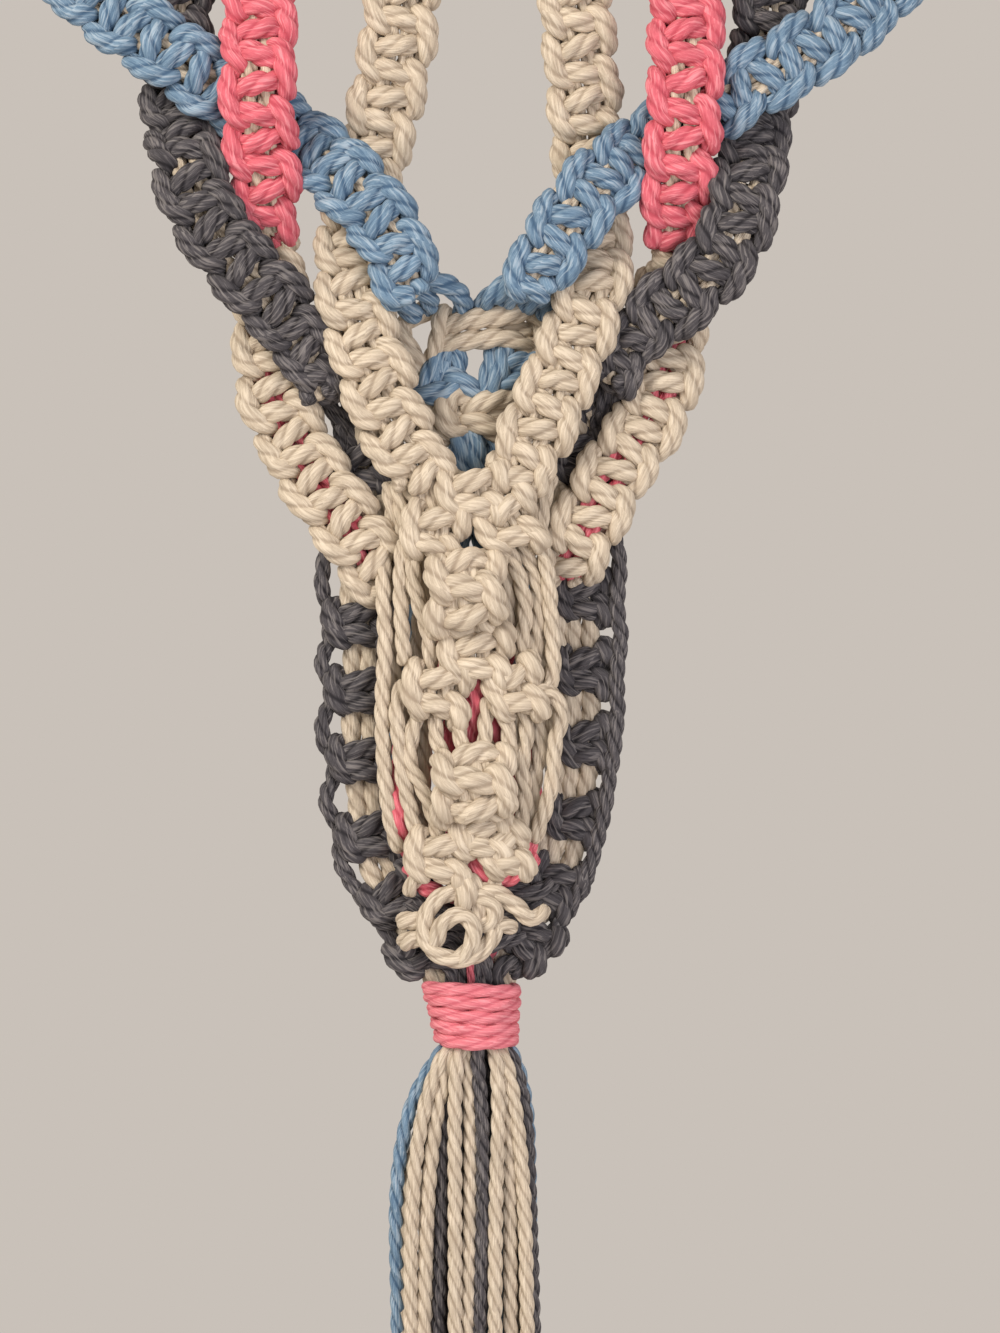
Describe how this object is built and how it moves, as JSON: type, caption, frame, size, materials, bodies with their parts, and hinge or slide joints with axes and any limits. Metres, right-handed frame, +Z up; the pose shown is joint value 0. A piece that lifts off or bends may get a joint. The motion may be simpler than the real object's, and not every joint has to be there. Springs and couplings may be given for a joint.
{
  "type": "macrame wall hanging",
  "caption": "Knotted cotton wall hanging: square-knot sennits cross and gather into a looped net behind a cream panel with berry knots, then a pink wrap and a long tassel.",
  "frame": {"origin": "middle of the top edge, where the ends of the hanging sennits are held, halfway through their thickness", "axes": "+Z up, the hanging falls along -Z; -Y is the front that faces the room, +Y the back; +X is right seen from the front"},
  "size_m": [0.2879, 0.0398, 0.4783],
  "materials": {
    "cotton_blue": "matte",
    "cotton_grey": "matte",
    "cotton_pink": "matte",
    "cotton_cream": "matte"
  },
  "bodies": {
    "root": {"sennit_blue_left": "cotton_blue", "sennit_blue_right": "cotton_blue", "sennit_grey_left": "cotton_grey", "sennit_grey_right": "cotton_grey", "sennit_pink_left": "cotton_pink", "sennit_pink_right": "cotton_pink", "sennit_outer_left": "cotton_cream", "sennit_outer_right": "cotton_cream", "sennit_inner_left": "cotton_cream", "sennit_inner_right": "cotton_cream", "front_panel": "cotton_cream", "back_net": "cotton_grey", "wrap": "cotton_pink", "tassel": "cotton_cream"}
  },
  "joints": []
}
